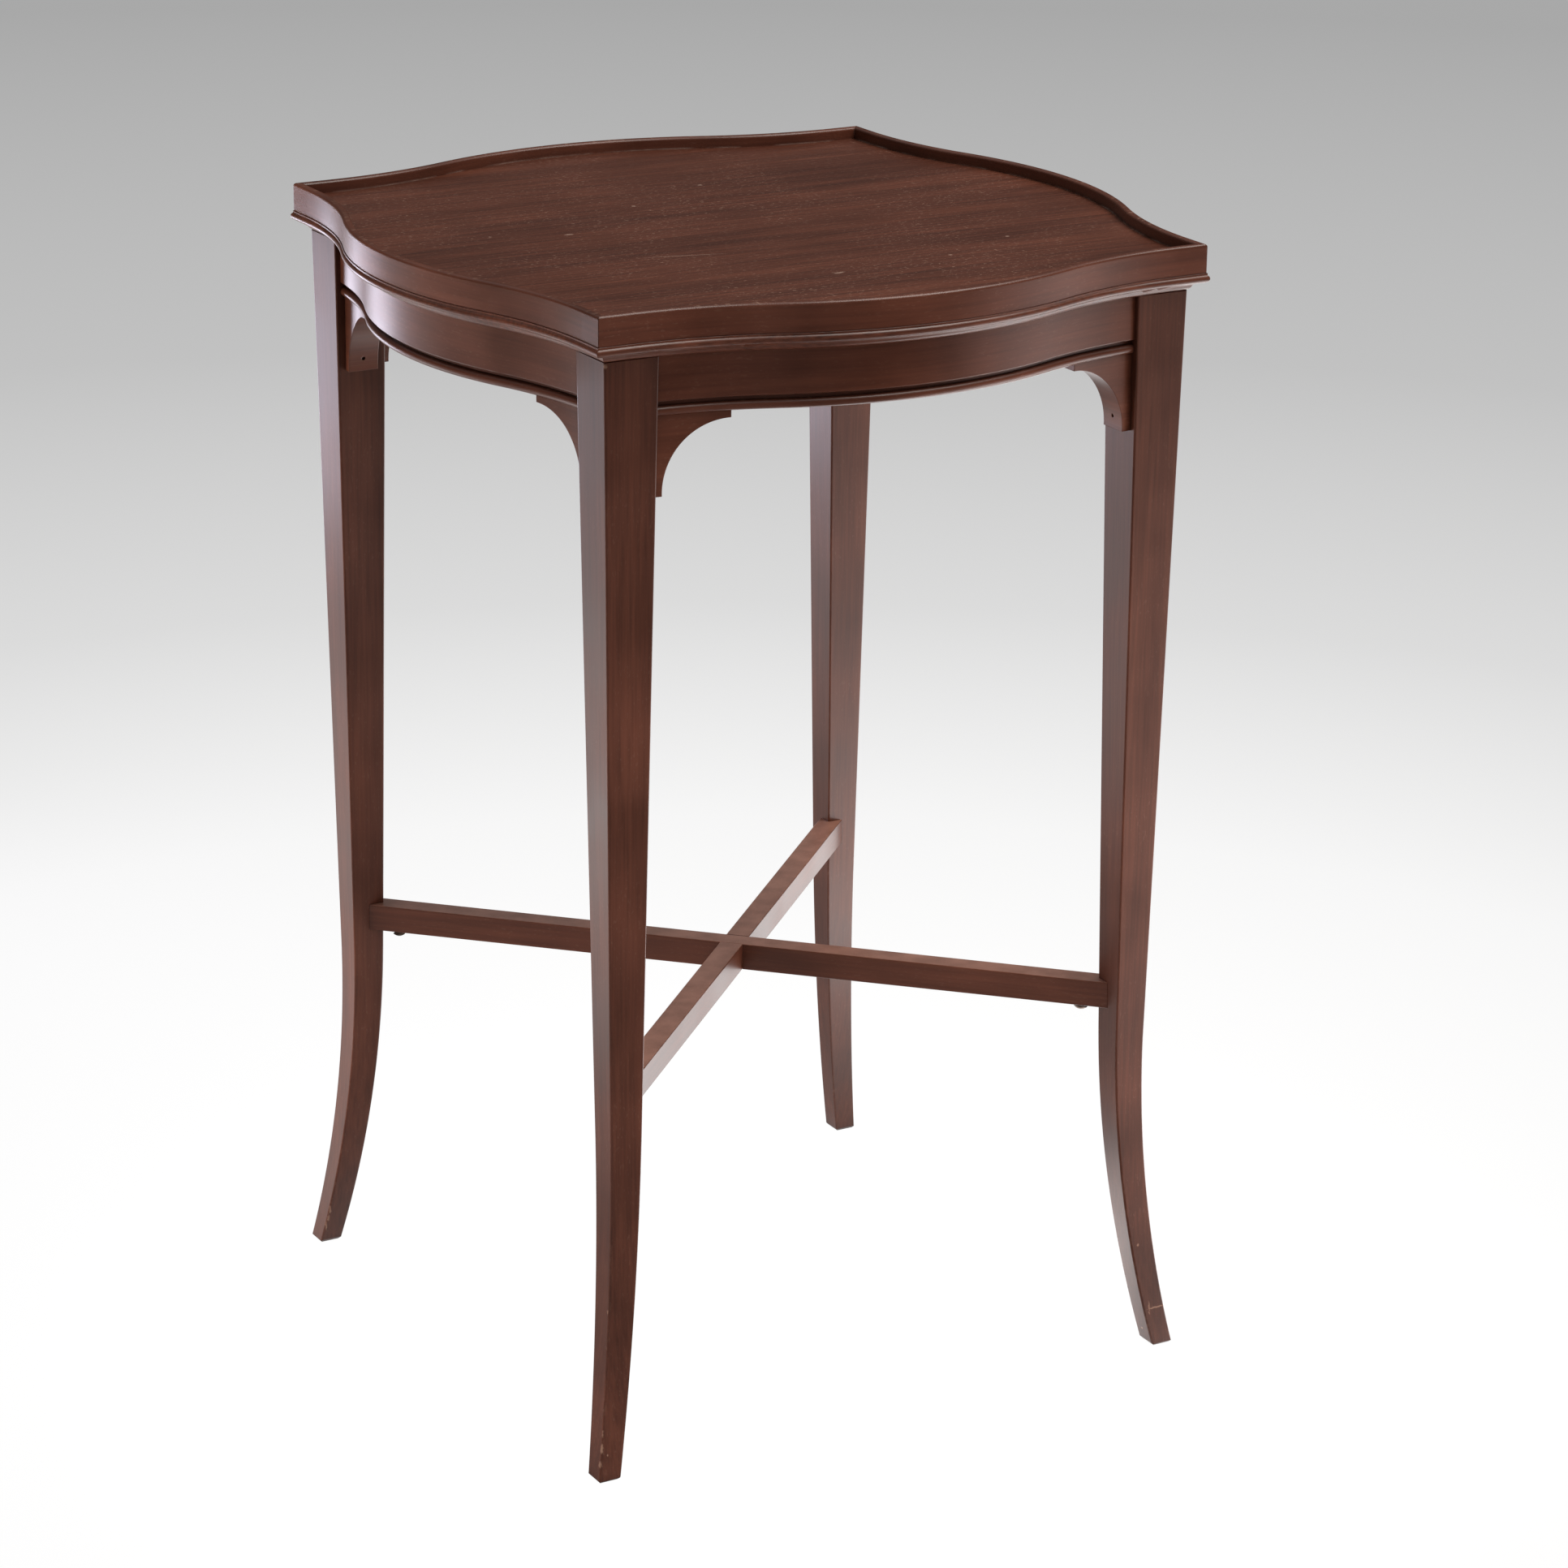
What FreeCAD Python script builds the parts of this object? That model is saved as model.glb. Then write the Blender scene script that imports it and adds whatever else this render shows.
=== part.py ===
# Occasional table: a tray top with four bowed sides and a low gallery, on four square legs
# that taper and sweep outwards at the foot, tied together by a crossed stretcher.
# X runs along the front side, Y towards the back and Z up from the floor, in millimetres.
import FreeCAD
import Part
import math
import os

from FreeCAD import Placement, Rotation, Vector

# Tray outline, taken on the outer face of the gallery
table_height = 686.0  # floor to the top edge of the gallery
tray_span = 391.0  # between opposite sides, measured at the corners
side_bow = 33.6  # how far each side swells past the line of its corners
corner_flat = 19.3  # straight stretch from a corner to the start of the curve
swell_radius = 247.0  # the arc in the middle of a side

# Gallery and top board
gallery_thickness = 5.0
gallery_height = 16.9  # from the board's ledge to the top edge
gallery_round = 1.8  # rounding of the top edge
tray_depth = 7.1  # tray floor below the top edge of the gallery
board_thickness = 20.5

# Moulded edge of the top board, below the gallery
lip_width = 0.5  # flat lip that shows outside the gallery
lip_drop = 0.8  # from the lip to the top of the bead
nose_radius = 2.4  # half-round bead
nose_reach = 1.6  # the bead stands this far outside the gallery
soffit_width = 1.5  # flat between the bead and the ogee below it
ogee_width = 7.0  # hollow and round below the bead, down to the legs

# Legs
leg_inset = 7.5  # outer faces of the leg behind the faces of the gallery
leg_top_width = 33.4
leg_foot_width = 14.2
flare_height = 205.0  # the sweep of the foot starts here
foot_flare = 20.2  # how far the foot swings out, along X and along Y
arris_round = 1.0
foot_ease = 1.5  # worn edge under the foot

# Aprons and the bead strips under them
apron_inset = 11.8  # face of the apron behind the face of the gallery
apron_thickness = 19.0
apron_height = 26.2
apron_round = 0.6
quirk_height = 2.7  # dark groove between the apron and its bead
quirk_depth = 3.6
apron_bead_height = 5.5

# Brackets between the aprons and the legs
bracket_setback = 2.6  # behind the face of the apron
bracket_thickness = 19.0
bracket_length = 44.0  # along the apron
bracket_drop = 45.6  # down the leg
bracket_tip = 4.0  # upright end of the bracket, under the apron
bracket_toe = 5.8  # level end of the bracket, against the leg

# Stretcher rails
rail_top = 233.8
rail_height = 16.5
rail_width = 14.5
rail_round = 0.7

# Corner blocks inside the frame
block_height = 20.0
block_web = 24.0  # wood behind the inner corner of the leg

# Dowels between the aprons and the legs
dowel_radius = 3.5
dowel_in_leg = 13.0
dowel_in_apron = 15.0
dowel_edge = 7.5  # from the edge of the apron to the middle of a dowel
dowel_gap = 0.05  # film of glue round a dowel

# Screws and pins
screw_gap = 0.1  # clearance round a screw or pin
screw_radius = 2.0
slot_width = 1.0
slot_depth = 1.1
stretcher_screw_length = 30.0
stretcher_screw_setback = 10.9  # from the leg to where the screw enters the rail
stretcher_screw_tilt = 45.0  # degrees above level
stretcher_head_radius = 5.4
stretcher_head_height = 5.2
stretcher_head_proud = 4.6  # how far the dome shows below the rail
block_head_radius = 4.0
block_head_height = 2.6
block_screw_aside = 28.0  # from the leg to a block screw, along the apron
block_screw_wood = 9.0  # wood of the block under the head
block_screw_bite = 12.0  # grip in the apron
top_screw_wood = 14.0  # wood of the block under the head
top_screw_bite = 11.0  # grip in the top board
pin_radius = 0.6
pin_length = 18.0
pin_head_radius = 1.0
pin_head_height = 0.8
pin_sink = 1.0  # the head is punched below the surface
pin_inset = 7.5  # from the end of the bracket to the pin

# Heights and distances that follow from the sizes above
half = tray_span / 2
floor_z = table_height - tray_depth
board_z = floor_z - board_thickness
ledge_z = table_height - gallery_height
apron_z = board_z - apron_height
bead_z = apron_z - quirk_height - apron_bead_height
bracket_z = bead_z - bracket_drop
rail_z = rail_top - rail_height
block_z = board_z - block_height
leg_spacing = tray_span - 2 * leg_inset - leg_top_width
leg_centre = leg_spacing / 2
well_outside = tray_span  # far enough for any piece to be trimmed
apron_back = apron_inset + apron_thickness
bracket_front = apron_inset + bracket_setback
bracket_back = bracket_front + bracket_thickness

# The bow of a side: a swelling arc between two hollow arcs, all tangent
curve_half = half - corner_flat
radius_sum = (curve_half**2 + side_bow**2) / (2 * side_bow)
hollow_radius = radius_sum - swell_radius
turn = math.degrees(math.asin(curve_half / radius_sum))
swell_half = swell_radius * curve_half / radius_sum

origin = Vector(0, 0, 0)
up = Vector(0, 0, 1)
root_half = math.sqrt(0.5)
swell_centre = Vector(0, swell_radius - half - side_bow, 0)


def closed_face(start, *steps):
    """Face in an outline of lines and arcs: a step is an end, or the middle and end of an arc."""
    edges = []
    here = start
    for step in steps + (start,):
        if isinstance(step, tuple):
            middle, end = step
            edges.append(Part.Arc(here, middle, end).toShape())
        else:
            end = step
            edges.append(Part.makeLine(here, end))
        here = end
    return Part.Face(Part.Wire(edges))


def bend_middle(start, tangent, end):
    """Middle of the arc that leaves start along tangent and arrives at end."""
    chord = end - start
    along = Vector(chord).normalize()
    aside = tangent - along * tangent.dot(along)
    lean = math.atan2(aside.Length, tangent.dot(along))
    return (start + end) * 0.5 + aside.normalize() * (chord.Length / 2 * math.tan(lean / 2))


def solid_of(shape):
    """The one solid in the result of a cut or a fuse."""
    return max(shape.Solids, key=lambda solid: solid.Volume)


def on_side(shape, turns):
    """Copy on another side of the table, in quarter turns."""
    return shape.rotated(origin, up, 90 * turns)


def mirrored(shape):
    """Copy at the other end of the front side."""
    return shape.mirror(origin, Vector(1, 0, 0))


def both_ends(shapes):
    """Shapes at the left end of the front side, with their copies at the right end."""
    return shapes + [mirrored(shape) for shape in shapes]


def both_faces(shapes):
    """Shapes on the front of the left corner, with their copies on the left side."""
    return shapes + [shape.mirror(origin, Vector(1, -1, 0)) for shape in shapes]


def all_round(shapes):
    """Shapes of one side or corner, with their copies on the other three."""
    return [on_side(shape, turns) for turns in range(4) for shape in shapes]


def at(offset, z):
    """Profile point, with its offset outwards from the gallery's outer face."""
    return Vector(0, -offset, z)


def front_at(x, inset):
    """Y of a face that runs behind the front of the gallery by an inset, at a place along it."""
    aside = abs(x)
    if aside < swell_half * (1 - inset / swell_radius):
        radius = swell_radius - inset
        return swell_centre.y - math.sqrt(radius**2 - aside**2)
    radius = hollow_radius + inset
    return math.sqrt(radius**2 - (curve_half - aside) ** 2) - half - hollow_radius


def along_front(profile):
    """Sweep a profile along the front side, past both corners."""
    runs = []
    for end in (-1, 1):
        start = profile.translated(Vector(end * curve_half, -half, 0))
        hollow_centre = Vector(end * curve_half, -half - hollow_radius, 0)
        runs.append(start.extrude(Vector(end * (well_outside - curve_half), 0, 0)))
        runs.append(start.revolve(hollow_centre, up, end * turn))
    start = profile.translated(Vector(0, -half - side_bow, 0)).rotated(swell_centre, up, -turn)
    return solid_of(start.revolve(swell_centre, up, 2 * turn).multiFuse(runs).removeSplitter())


def outline_block(inset, low, high):
    """Solid with the tray's outline, moved inwards by an inset, between two heights."""
    corner = Vector(inset - half, inset - half, low)
    flat_end = Vector(-curve_half, inset - half, low)
    hollow_end_x = -swell_half * (1 - inset / swell_radius)
    hollow_end = Vector(hollow_end_x, front_at(hollow_end_x, inset), low)
    hollow_middle = bend_middle(flat_end, Vector(1, 0, 0), hollow_end)
    crown = Vector(0, inset - half - side_bow, low)
    flat = Part.makeLine(corner, flat_end)
    hollow = Part.Arc(flat_end, hollow_middle, hollow_end).toShape()
    swell = Part.Arc(hollow_end, crown, Vector(-hollow_end.x, hollow_end.y, low)).toShape()
    edges = all_round(both_ends([flat, hollow]) + [swell])
    outline = Part.Face(Part.Wire(Part.__sortEdges__(edges)))
    return outline.extrude(Vector(0, 0, high - low))


def mitred(strip):
    """Trim a strip of the front side on the diagonals of the tray."""
    left = Vector(-well_outside, -well_outside, 0)
    right = Vector(well_outside, -well_outside, 0)
    wedge = closed_face(origin, left, right).extrude(Vector(0, 0, table_height))
    return solid_of(strip.common(wedge))


# Front left leg, before any hole is bored
def leg_inner(z):
    """Distance of the leg's inner faces from the middle of the table, above the flare."""
    return leg_centre - leg_half_width(z)


def leg_half_width(z):
    """Half the width of the tapered leg at a height."""
    return (leg_foot_width + (leg_top_width - leg_foot_width) * z / board_z) / 2


def leg_edge(side):
    """Top, start of the flare, middle of the flare and foot of one edge of the leg."""
    top = Vector(-leg_centre - side * leg_half_width(board_z), 0, board_z)
    knee = Vector(-leg_centre - side * leg_half_width(flare_height), 0, flare_height)
    foot = Vector(-leg_centre - foot_flare - side * leg_half_width(0), 0, 0)
    return top, knee, bend_middle(knee, (knee - top).normalize(), foot), foot


outer_top, outer_knee, outer_bend, outer_foot = leg_edge(1)
inner_top, inner_knee, inner_bend, inner_foot = leg_edge(-1)
leg_face = closed_face(
    outer_top,
    outer_knee,
    (outer_bend, outer_foot),
    inner_foot,
    (inner_bend, inner_knee),
    inner_top,
)
ease_face = closed_face(
    inner_foot - Vector(foot_ease, 0, 0),
    outer_foot + Vector(foot_ease, 0, 0),
    outer_foot + Vector(foot_ease - board_z, 0, board_z),
    inner_foot - Vector(foot_ease - board_z, 0, -board_z),
)


def squared(face):
    """Upright bar with the same outline from the front and from the left."""
    front_slab, left_slab = both_faces([face.extrude(Vector(0, -well_outside, 0))])
    return solid_of(front_slab.common(left_slab))


leg = squared(leg_face)
arrises = [edge for edge in leg.Edges if edge.BoundBox.ZLength > arris_round]
leg = solid_of(leg.makeFillet(arris_round, arrises).common(squared(ease_face)))


def between_legs(strip):
    """Fit a strip of the front side between the legs at its ends."""
    corner = Vector(-leg_centre, -well_outside, 0)
    window = Part.makeBox(leg_spacing, well_outside, table_height, corner)
    return solid_of(strip.common(window).cut(both_ends([leg])))


# Top board: a flat field with a moulded edge, and a ledge for the gallery to stand on
nose_offset = nose_reach - nose_radius
nose_z = ledge_z - lip_drop - nose_radius
lip_z = nose_z + math.sqrt(nose_radius**2 - (lip_width - nose_offset) ** 2)
soffit_z = nose_z - nose_radius
ogee_offset = nose_offset - soffit_width
ogee_top = at(ogee_offset, soffit_z)
ogee_foot = at(ogee_offset - ogee_width, board_z)
ogee_middle = (ogee_top + ogee_foot) * 0.5
inwards = Vector(0, 1, 0)
field_inset = gallery_thickness + ogee_width - ogee_offset
board_profile = closed_face(
    at(-field_inset, board_z),
    at(-field_inset, floor_z),
    at(-gallery_thickness, floor_z),
    at(-gallery_thickness, ledge_z),
    at(lip_width, ledge_z),
    at(lip_width, lip_z),
    (at(nose_reach, nose_z), at(nose_offset, soffit_z)),
    ogee_top,
    (bend_middle(ogee_top, inwards, ogee_middle), ogee_middle),
    (bend_middle(ogee_foot, -inwards, ogee_middle), ogee_foot),
)
board_edges = all_round([mitred(along_front(board_profile))])
board_field = outline_block(field_inset, board_z, floor_z)
top_board = solid_of(board_field.multiFuse(board_edges).removeSplitter())

# Gallery strip of the front side, rounded along its top edge
gallery_shoulder = table_height - gallery_round
gallery_back = -gallery_thickness
gallery_back_round = gallery_back + gallery_round
round_rise = gallery_round * root_half
gallery_profile = closed_face(
    at(0, ledge_z),
    at(0, gallery_shoulder),
    (at(round_rise - gallery_round, gallery_shoulder + round_rise), at(-gallery_round, table_height)),
    at(gallery_back_round, table_height),
    (at(gallery_back_round - round_rise, gallery_shoulder + round_rise), at(gallery_back, gallery_shoulder)),
    at(gallery_back, ledge_z),
)
gallery = mitred(along_front(gallery_profile))

# Front apron, eased along its lower edge
ease_rise = apron_round * (1 - root_half)
apron_profile = closed_face(
    at(-apron_inset, board_z),
    at(-apron_inset, apron_z + apron_round),
    (at(-apron_inset - ease_rise, apron_z + ease_rise), at(-apron_inset - apron_round, apron_z)),
    at(-apron_back, apron_z),
    at(-apron_back, board_z),
)
apron = between_legs(along_front(apron_profile))

# Bead strip under the front apron, with a neck that leaves a dark quirk above the bead
bead_radius = apron_bead_height / 2
neck_offset = -apron_inset - quirk_depth
bead_profile = closed_face(
    at(neck_offset, apron_z),
    at(neck_offset, bead_z + apron_bead_height),
    at(-apron_inset - bead_radius, bead_z + apron_bead_height),
    (at(-apron_inset, bead_z + bead_radius), at(-apron_inset - bead_radius, bead_z)),
    at(-apron_back, bead_z),
    at(-apron_back, apron_z),
)
apron_bead = between_legs(along_front(bead_profile))

# Left bracket of the front side, sawn to a hollow edge and bowed like the apron above it
tip = Vector(bracket_length - leg_inner(bead_z), 0, bead_z)
tip_end = tip - Vector(0, 0, bracket_tip)
toe_end = Vector(bracket_toe - leg_inner(bracket_z), 0, bracket_z)
hollow_middle = tip_end * (1 - root_half) + toe_end * root_half
hollow_middle.z = toe_end.z * (1 - root_half) + tip_end.z * root_half
hollow = Part.Arc(tip_end, hollow_middle, toe_end).toShape().Curve
bracket_face = closed_face(
    Vector(-leg_centre, 0, bead_z),
    tip,
    tip_end,
    (hollow_middle, toe_end),
    Vector(-leg_centre, 0, bracket_z),
)
bracket_profile = closed_face(
    at(-bracket_front, bracket_z),
    at(-bracket_back, bracket_z),
    at(-bracket_back, bead_z),
    at(-bracket_front, bead_z),
)
sawn = bracket_face.extrude(Vector(0, -well_outside, 0))
bracket = solid_of(along_front(bracket_profile).common(sawn).cut(leg))

# Glue block in the front left corner, fitted to both aprons and round the leg
block_reach = 2 * leg_inner(board_z) - block_web / root_half
block_face = closed_face(
    Vector(-block_reach, -block_reach, block_z),
    Vector(0, -block_reach, block_z),
    Vector(-block_reach, 0, block_z),
)
block_prism = block_face.extrude(Vector(0, 0, block_height))
corner_block = solid_of(outline_block(apron_back, block_z, board_z).common(block_prism).cut(leg))


# Stretcher rails, drawn along X and turned onto their diagonals
def stretcher_rail(notch_z, diagonal):
    """Rail with its halving notch at a height, on a diagonal of the table, fitted to two legs."""
    half_length = leg_centre / root_half
    corner = Vector(-half_length, -rail_width / 2, rail_z)
    bar = Part.makeBox(2 * half_length, rail_width, rail_height, corner)
    bar = bar.makeFillet(rail_round, [edge for edge in bar.Edges if edge.Length > half_length])
    notch_corner = Vector(-rail_width / 2, -rail_width, notch_z)
    bar = bar.cut(Part.makeBox(rail_width, 2 * rail_width, rail_height / 2, notch_corner))
    return solid_of(bar.rotated(origin, up, diagonal).cut(all_round([leg])))


stretcher_over = stretcher_rail(rail_z, -45)
stretcher_under = stretcher_rail(rail_z + rail_height / 2, 45)


# Screws, pins and dowels of the front left corner, each with the hole that is bored for it
def fastener(head_radius, head_height, shank_radius, length):
    """Domed head and pointed shank: the head's seat is at the origin and the point is up."""
    crown = Vector(0, 0, -head_height)
    rim = Vector(head_radius, 0, 0)
    face = closed_face(
        crown,
        (bend_middle(crown, Vector(1, 0, 0), rim), rim),
        Vector(shank_radius, 0, 0),
        Vector(shank_radius, 0, length - 2 * shank_radius),
        Vector(0, 0, length),
    )
    return face.revolve(origin, up, 360)


def slotted(screw, head_radius, head_height):
    """Cut the driver's slot across a screw head."""
    corner = Vector(-head_radius, -slot_width / 2, -head_height)
    return screw.cut(Part.makeBox(2 * head_radius, slot_width, slot_depth, corner))


def bored(head_radius, shank_radius, length):
    """Hole for a fastener, with a pocket that stays open behind the head."""
    pocket_depth = leg_top_width
    pocket = Part.makeCylinder(head_radius + screw_gap, pocket_depth, Vector(0, 0, -pocket_depth))
    return pocket.fuse(Part.makeCylinder(shank_radius + screw_gap, length + screw_gap))


def driven(shape, seat, direction):
    """Copy of a fastener or its hole, seated at a place and pointing in a direction."""
    placed = shape.copy()
    placed.Placement = Placement(seat, Rotation(up, direction))
    return placed


# Dowels between the left end of the front apron and its leg
dowels = []
dowel_holes = []
along_x = Vector(1, 0, 0)
for height in (apron_z + dowel_edge, board_z - dowel_edge):
    joint_x = -leg_inner(height)
    start = Vector(joint_x - dowel_in_leg, front_at(joint_x, apron_inset + apron_thickness / 2), height)
    length = dowel_in_leg + dowel_in_apron
    hole_start = start - along_x * dowel_gap
    dowels.append(Part.makeCylinder(dowel_radius, length, start, along_x))
    dowel_holes.append(
        Part.makeCylinder(dowel_radius + dowel_gap, length + 2 * dowel_gap, hole_start, along_x)
    )

# Pins through the hollow of the left front bracket: a level one into the leg, an upright one
# into the apron
pin = fastener(pin_head_radius, pin_head_height, pin_radius, pin_length)
pin_room = bored(pin_head_radius, pin_radius, pin_length)
pin_depth = pin_sink + pin_head_height
bracket_middle = bracket_front + bracket_thickness / 2
level_z = bracket_z + pin_inset
level_x = hollow.Center.x - math.sqrt(hollow.Radius**2 - (level_z - hollow.Center.z) ** 2)
level_seat = Vector(level_x - pin_depth, front_at(level_x, bracket_middle), level_z)
upright_x = tip.x - pin_inset
upright_z = hollow.Center.z + math.sqrt(hollow.Radius**2 - (upright_x - hollow.Center.x) ** 2)
upright_seat = Vector(upright_x, front_at(upright_x, bracket_middle), upright_z + pin_depth)
pins = [driven(pin, level_seat, -along_x), driven(pin, upright_seat, up)]
level_hole = driven(pin_room, level_seat, -along_x)
upright_hole = driven(pin_room, upright_seat, up)

# Screw from the front left corner block into the front apron
block_screw_length = block_screw_wood + block_screw_bite
block_screw_x = block_screw_aside - leg_inner(board_z)
block_screw_y = front_at(block_screw_x, apron_back) + block_screw_wood
block_screw_seat = Vector(block_screw_x, block_screw_y, block_z + block_height / 2)
block_screw = fastener(block_head_radius, block_head_height, screw_radius, block_screw_length)
block_screw = slotted(block_screw, block_head_radius, block_head_height)
block_screw = driven(block_screw, block_screw_seat, Vector(0, -1, 0))
block_screw_hole = bored(block_head_radius, screw_radius, block_screw_length)
block_screw_hole = driven(block_screw_hole, block_screw_seat, Vector(0, -1, 0))

# Screw up through the front left corner block into the top board
top_screw_length = top_screw_wood + top_screw_bite
top_screw_x = block_web / 2 * root_half - leg_inner(board_z)
top_screw_seat = Vector(top_screw_x, top_screw_x, board_z - top_screw_wood)
top_screw = fastener(block_head_radius, block_head_height, screw_radius, top_screw_length)
top_screw = slotted(top_screw, block_head_radius, block_head_height)
top_screw = driven(top_screw, top_screw_seat, up)
top_screw_hole = driven(bored(block_head_radius, screw_radius, top_screw_length), top_screw_seat, up)

# Slanting screw up through the front left end of the stretcher into the leg
dome_radius = (stretcher_head_radius**2 + stretcher_head_height**2) / (2 * stretcher_head_height)
tilt = math.radians(stretcher_screw_tilt)
outwards = Vector(-root_half, -root_half, 0)
slant = outwards * math.cos(tilt) + up * math.sin(tilt)
seat_depth = (dome_radius - stretcher_head_proud) / math.sin(tilt) - dome_radius + stretcher_head_height
entry_reach = leg_inner(rail_z + rail_height / 2) / root_half - stretcher_screw_setback
stretcher_seat = outwards * entry_reach + up * rail_z + slant * seat_depth
stretcher_screw = fastener(
    stretcher_head_radius, stretcher_head_height, screw_radius, stretcher_screw_length
)
stretcher_screw = slotted(stretcher_screw, stretcher_head_radius, stretcher_head_height)
stretcher_screw = driven(stretcher_screw, stretcher_seat, slant)
stretcher_hole = bored(stretcher_head_radius, screw_radius, stretcher_screw_length)
stretcher_hole = driven(stretcher_hole, stretcher_seat, slant)

# Bore every piece for its fasteners
leg = leg.cut(both_faces(dowel_holes + [level_hole]) + [stretcher_hole])
apron = apron.cut(both_ends(dowel_holes + [upright_hole, block_screw_hole]))
apron_bead = apron_bead.cut(both_ends([upright_hole]))
bracket = bracket.cut([level_hole, upright_hole])
corner_block = corner_block.cut(both_faces([block_screw_hole]) + [top_screw_hole])
top_board = top_board.cut(all_round([top_screw_hole]))
stretcher_over = stretcher_over.cut(all_round([stretcher_hole]))
stretcher_under = stretcher_under.cut(all_round([stretcher_hole]))

# Every piece in its place, by name
parts = {
    "top_board": top_board,
    "stretcher_over": stretcher_over,
    "stretcher_under": stretcher_under,
    "apron_dowels": Part.makeCompound(all_round(both_ends(dowels))),
    "bracket_pins": Part.makeCompound(all_round(both_ends(pins))),
    "block_screws": Part.makeCompound(all_round(both_ends([block_screw]))),
    "top_screws": Part.makeCompound(all_round([top_screw])),
    "stretcher_screws": Part.makeCompound(all_round([stretcher_screw])),
}
sides = ["front", "right", "back", "left"]
corners = ["front_left", "front_right", "back_right", "back_left"]
for turns, (side, corner) in enumerate(zip(sides, corners)):
    side_before = sides[turns - 1]
    side_after = sides[(turns + 1) % len(sides)]
    parts["gallery_" + side] = on_side(gallery, turns)
    parts["apron_" + side] = on_side(apron, turns)
    parts["apron_bead_" + side] = on_side(apron_bead, turns)
    parts["bracket_" + side + "_" + side_before] = on_side(bracket, turns)
    parts["bracket_" + side + "_" + side_after] = on_side(mirrored(bracket), turns)
    parts["leg_" + corner] = on_side(leg, turns)
    parts["corner_block_" + corner] = on_side(corner_block, turns)

os.makedirs("parts", exist_ok=True)
for name, shape in parts.items():
    shape.exportStep("parts/" + name + ".step")
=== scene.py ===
# %% [markdown]
# # An occasional table with a serpentine tray top
# The table is a small mahogany piece with a tray top, four swept legs and a crossed stretcher.
# Every piece of it was made in CAD and comes in as a fixed frame, so this lesson gives the pieces
# their finish and sets up a plain studio round them. The frame is in metres, with X along the
# front side, Y towards the back and Z up from the floor.

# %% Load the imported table
import bpy
import math
from mathutils import Matrix, Vector

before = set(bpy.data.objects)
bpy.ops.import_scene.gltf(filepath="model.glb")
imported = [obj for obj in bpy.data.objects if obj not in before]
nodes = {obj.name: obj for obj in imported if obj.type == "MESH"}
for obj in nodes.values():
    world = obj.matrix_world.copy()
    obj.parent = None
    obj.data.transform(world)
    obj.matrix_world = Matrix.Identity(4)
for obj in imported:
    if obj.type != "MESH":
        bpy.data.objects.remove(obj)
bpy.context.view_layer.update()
MM = 0.001

# %% [markdown]
# ## Helpers for materials
# Colours are written as sRGB hex values, as a paint chart gives them, and one function turns them
# to the linear values that Blender's shaders use. A second function adds a node with its settings
# and its links, so that each finish below reads as a list of what it is made of. A third starts a
# new material.


# %% Colour and node helpers
def colour(hex_value):
    """Linear colour with alpha, from an sRGB hex value."""
    channels = [int(hex_value[i : i + 2], 16) / 255 for i in (1, 3, 5)]
    linear = [c / 12.92 if c <= 0.04045 else ((c + 0.055) / 1.055) ** 2.4 for c in channels]
    return (*linear, 1.0)


def add_node(tree, kind, settings, links):
    """Add a node, set its properties and inputs, and link its inputs to other nodes' outputs."""
    node = tree.nodes.new(kind)
    for name, value in settings.items():
        if isinstance(name, str) and hasattr(node, name):
            setattr(node, name, value)
        else:
            node.inputs[name].default_value = value
    for name, socket in links.items():
        tree.links.new(socket, node.inputs[name])
    return node


def new_material(name):
    """Node material with a principled shader, its node tree and that shader."""
    material = bpy.data.materials.new(name)
    material.use_nodes = True
    tree = material.node_tree
    return material, tree, tree.nodes["Principled BSDF"]


print("dark mahogany in linear light:", [round(c, 4) for c in colour("#4a281e")[:3]])

# %% [markdown]
# ## Reading a surface
# A finish differs from place to place: with the figure of the wood, with the height above the
# floor, in hollows, along edges and on faces that lie flat. Each of these is read by a node or two.
# A pattern could be an image, but noise has no edge and its scale comes straight from a size in
# millimetres.

# %% Place, height, hollows, edges and noise
SHADE_RAYS = 8  # rays that look for a hollow
EDGE_RAYS = 6  # rays that look for an edge


def place_on(tree):
    """Place on a piece, in metres."""
    return add_node(tree, "ShaderNodeTexCoord", {}, {}).outputs["Object"]


def z_of(tree, vector):
    """Upward part of a place or of a direction."""
    return add_node(tree, "ShaderNodeSeparateXYZ", {}, {"Vector": vector}).outputs["Z"]


def face_normal(tree):
    """Direction that a face looks in."""
    return add_node(tree, "ShaderNodeNewGeometry", {}, {}).outputs["Normal"]


def rounded_normal(tree, radius):
    """Direction of a face whose edges are rounded by a radius in mm."""
    settings = {"samples": EDGE_RAYS, "Radius": radius * MM}
    return add_node(tree, "ShaderNodeBevel", settings, {}).outputs["Normal"]


def openness(tree, reach):
    """One on an open face, and less in a hollow within a reach in mm."""
    settings = {"samples": SHADE_RAYS, "Distance": reach * MM}
    return add_node(tree, "ShaderNodeAmbientOcclusion", settings, {}).outputs["AO"]


def noise_of(tree, place, sizes, detail):
    """Noise with the sizes in mm along X, Y and Z."""
    scale = [1 / (size * MM) for size in sizes]
    spread = add_node(tree, "ShaderNodeMapping", {"Scale": scale}, {"Vector": place})
    settings = {"Scale": 1.0, "Detail": detail}
    return add_node(tree, "ShaderNodeTexNoise", settings, {"Vector": spread.outputs["Vector"]})


print("rays for hollows and edges:", SHADE_RAYS, EDGE_RAYS)
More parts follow.
